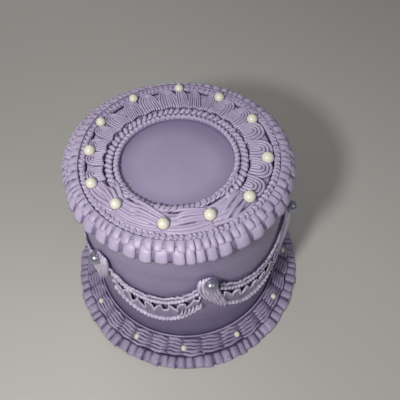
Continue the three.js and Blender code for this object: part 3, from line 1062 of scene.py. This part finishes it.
def free_heights(count, low, high, stray):
    """Free heights along a ribbon, low and high by turns, none quite the same."""
    return np.where(np.arange(count) % 2 == 0, low, high) + rng.uniform(*stray, count)


def drop_path(azimuth, across, low, tall, lean):
    """Path of one short slanted stroke at the end of a swag."""

    def path(along):
        around = azimuth + (across + lean * along) / WALL
        return polar(WALL + 1.2 + 1.2 * np.sin(math.pi * along), around, low + tall * along)

    return path


for number in range(1, SWAG_COUNT + 1):
    start = tassel_azimuths[number - 1]
    span = (tassel_azimuths[number % SWAG_COUNT] - start) % math.tau
    ends = (start + SWAG_END, start + span - SWAG_END)
    phase = rng.uniform(0, 6)
    upper = draped(
        ends, *UPPER_RIBBON, free_heights(UPPER_STATIONS, 3.4, 4.6, (-0.3, 0.3)),
        rng.uniform(0.6, 1.1, UPPER_STATIONS),
    )
    lower = draped(
        ends, *LOWER_RIBBON, free_heights(LOWER_STATIONS, 11.5, 19.5, (-2, 1.5)),
        rng.uniform(0.4, 1.3, LOWER_STATIONS),
    )
    fine = {"width": 0.7, "height": 0.8, "upward": out_axis, "sink": 0.8}
    swag = [
        (ribbon_blank, ribbon_rule(upper)),
        (ribbon_blank, ribbon_rule(lower)),
        (string_blank, band(lambda along: upper(along, 1.0, 0.1), **fine)),
        (string_blank, band(lambda along: lower(along, 1.0, 0.2), **fine)),
        (string_blank, band(
            hung_path(ends, *UPPER_STRING, proud=0.9, wave=0.12, phase=phase + 1),
            beaded(1.35, UPPER_BEADS), beaded(1.7, UPPER_BEADS), out_axis)),
        (string_blank, band(
            hung_path(ends, *LOWER_STRING, proud=1.0, wave=0.2, phase=phase + 2),
            beaded(1.5, LOWER_BEADS), beaded(2.3, LOWER_BEADS), out_axis)),
    ]
    for drop in range(DROPS):
        low = 57.5 - 1.6 * drop
        path = drop_path(ends[1], -1.0 - 2.3 * drop, low, 6.5, 2.0)
        swag.append((short_blank, band(path, tapered(0.8), tapered(1.3), out_axis)))
    name = f"swag_piping_{number}"
    finish_piece(piped(swag), name, side_piping, "side_piping", f"swag_{number}")


# The tassels: ridged strands pulled down the side in one fan with a star tip,
# from behind the pearl towards one side, and cut off on the slant.
STRANDS = 6
STRANDS_TOP = 96.3
STRANDS_FOOT = 57.5
FOOT_SLANT = 9.5
strand_blank = blank_stroke(12, 24)


def strand_path(azimuth, place, side):
    """Path of one strand down the side, place running from -1 to 1 across."""
    foot = STRANDS_FOOT - FOOT_SLANT * place * side
    crown = STRANDS_TOP - 2.2 * place ** 2

    def path(along):
        across = place * (3.6 + 2.2 * np.sin(math.pi * np.minimum(along * 0.62, 0.5)) ** 0.8)
        swing = 3.8 * along ** 1.6 - 1.2 * (1 - along) - 0.8 * np.sin(math.tau * along)
        across = across + side * swing
        bulge = np.sin(math.pi * np.clip(along * 0.9 + 0.1, 0, 1)) ** 0.8
        out = WALL + 0.7 + (2.6 - 1.2 * place ** 2) * bulge
        return polar(out, azimuth + across / WALL, crown - (crown - foot) * along)

    return path


for number, azimuth in enumerate(tassel_azimuths, start=1):
    side = 1 if number % 2 == 1 else -1
    tassel = []
    for place in np.linspace(-1, 1, STRANDS):
        path = strand_path(azimuth, place + rng.uniform(-0.05, 0.05), side)
        width = tapered(rng.uniform(1.15, 1.45), 0.12, 0.35)
        height = tapered(2.3, 0.12, 0.35)
        tassel.append((strand_blank, band(path, width, height, out_axis, sink=0.2, shade_strength=0.05)))
    tassel_mesh = pressed(piped(tassel), [tassel_pearls[number - 1]])
    name = f"tassel_piping_{number}"
    finish_piece(tassel_mesh, name, side_piping, "side_piping", f"tassel_{number}")

silver_pearl = pearl_finish(
    "silver_pearl", (0.44, 0.44, 0.56, 1.0), metallic=0.75, roughness=0.26, coat=0.5
)
add_pearls("tassel_pearl", tassel_pearls, silver_pearl, "silver_pearl")


# The foot border: ridged shells laid end over end with the star tip, hiding
# the joint between the cake and what it stands on.
SHELLS = 36
SHELL_RIDGES = 5
SHELL_OUT = 74.3
SHELL_UP = 7.0
RIDGE_STEP = 1.9
RIDGE_FALL = 1.2
FOOT_PEARLS = 12
foot_piping = icing_finish(
    "foot_piping", (0.46, 0.395, 0.57, 1), (0.36, 0.30, 0.475, 1),
    roughness=0.42, specks=0.08, grain=0.2, mottle=70.0,
)


def shell_ridge(ends, ridge, bow, slant):
    """Path of one ridge of a shell, high at its head and dipping to its tail."""
    place = ridge - SHELL_RIDGES // 2

    def path(along):
        fan = 1.04 - 0.10 * along
        ripple = 0.3 * np.sin(along * 12 + ridge) + slant * (along - 0.5)
        out = SHELL_OUT + place * RIDGE_STEP * fan + ripple + bow * np.sin(math.pi * along)
        up = SHELL_UP - place * RIDGE_FALL * fan + 2.4 * (1 - along) ** 1.3 - 0.4 * along
        return polar(out, ends[0] + (ends[1] - ends[0]) * along, up)

    return path


def shell_shade(along):
    return 0.75 * smoothstep(0.45, 0.8, along)


FOOT_BED = [(67.9, 0.1), (78.2, 0.1), (78.2, 4.2), (75.4, 7.4), (71.4, 9.6), (67.9, 10.8)]
foot_pearls = pearl_places("foot_pearl", FOOT_PEARLS)
foot_edges = uneven(SHELLS, 0.2)
shells = [(ring_blank, band(ring_path(68.7, 11.0), 0.7, 1.2))]
for first, last in zip(foot_edges, foot_edges[1:]):
    bow = rng.uniform(-0.7, 0.5)
    slant = rng.uniform(-2.0, 1.2)
    for ridge in range(SHELL_RIDGES):
        path = shell_ridge((first - 0.005, last + 0.05), ridge, bow, slant)
        width = tapered(rng.uniform(0.95, 1.25), 0.14, 0.5)
        shells.append((short_blank, band(
            path, width, tapered(1.6, 0.1, 0.5), slope_axis, shade=shell_shade)))
# Painted shade all over the bed under the shells.
bed_mesh = reshape(turned(FOOT_BED, 120), lambda out, around, up: (out, around, up, 0.8))
foot_mesh = pressed(joined(piped(shells), bed_mesh), foot_pearls)
finish_piece(foot_mesh, "foot_border_piping", foot_piping, "foot_piping", "foot_border")


# The foot ruffle: the ribbon of a petal tip folded flat round the foot in close
# rounded pleats with deep creases, one of them wide and smooth.
FOOT_FOLDS = 90
PLEAT_START = 79.1
PLEAT_REACH = 87.0
PLEAT_MIDDLE = 84
WIDE_FOLD = math.radians(-49)
RUFFLE_BED = [(78.6, 0.1), (78.6, 2.8), (82.0, 2.8), (85.6, 1.6), (85.8, 0.1)]


def pleat_path(azimuth, reach, top, sweep):
    """Path of one pleat outwards along the surface, falling to its hem."""

    def path(along):
        out = PLEAT_START + (reach - PLEAT_START) * along
        up = top - (top - 1.1) * along ** 1.5
        return polar(out, azimuth + sweep * along / out, up)

    return path


pleats = []
fold_edges = uneven(FOOT_FOLDS, 0.42)
for first, last in zip(fold_edges, fold_edges[1:]):
    wide = (last - first) * PLEAT_MIDDLE / 2
    reach = PLEAT_REACH - rng.uniform(0, 1.6)
    path = pleat_path((first + last) / 2, reach, 2.2, rng.uniform(-1.2, 1.2))
    height = tapered(rng.uniform(2.1, 2.8), 0.2, 0.1)
    tilt = rng.uniform(-0.15, 0.15)
    width = flared(wide * 0.85, wide * 1.05)
    pleats.append((short_blank, band(path, width, height, tilt=tilt, box=0.75)))
path = pleat_path(WIDE_FOLD, 86.6, 2.5, 0.0)
pleats.append((short_blank, band(path, flared(3.6, 4.6), tapered(2.9, 0.2, 0.1), box=0.35)))
# Painted shade all over the bed under the pleats.
pleat_bed = reshape(turned(RUFFLE_BED, 160), lambda out, around, up: (out, around, up, 0.85))
pleat_mesh = joined(piped(pleats), pleat_bed)
finish_piece(pleat_mesh, "foot_ruffle_piping", foot_piping, "foot_piping", "foot_ruffle")
add_pearls("foot_pearl", foot_pearls, white_pearl, "white_pearl", sides=20)
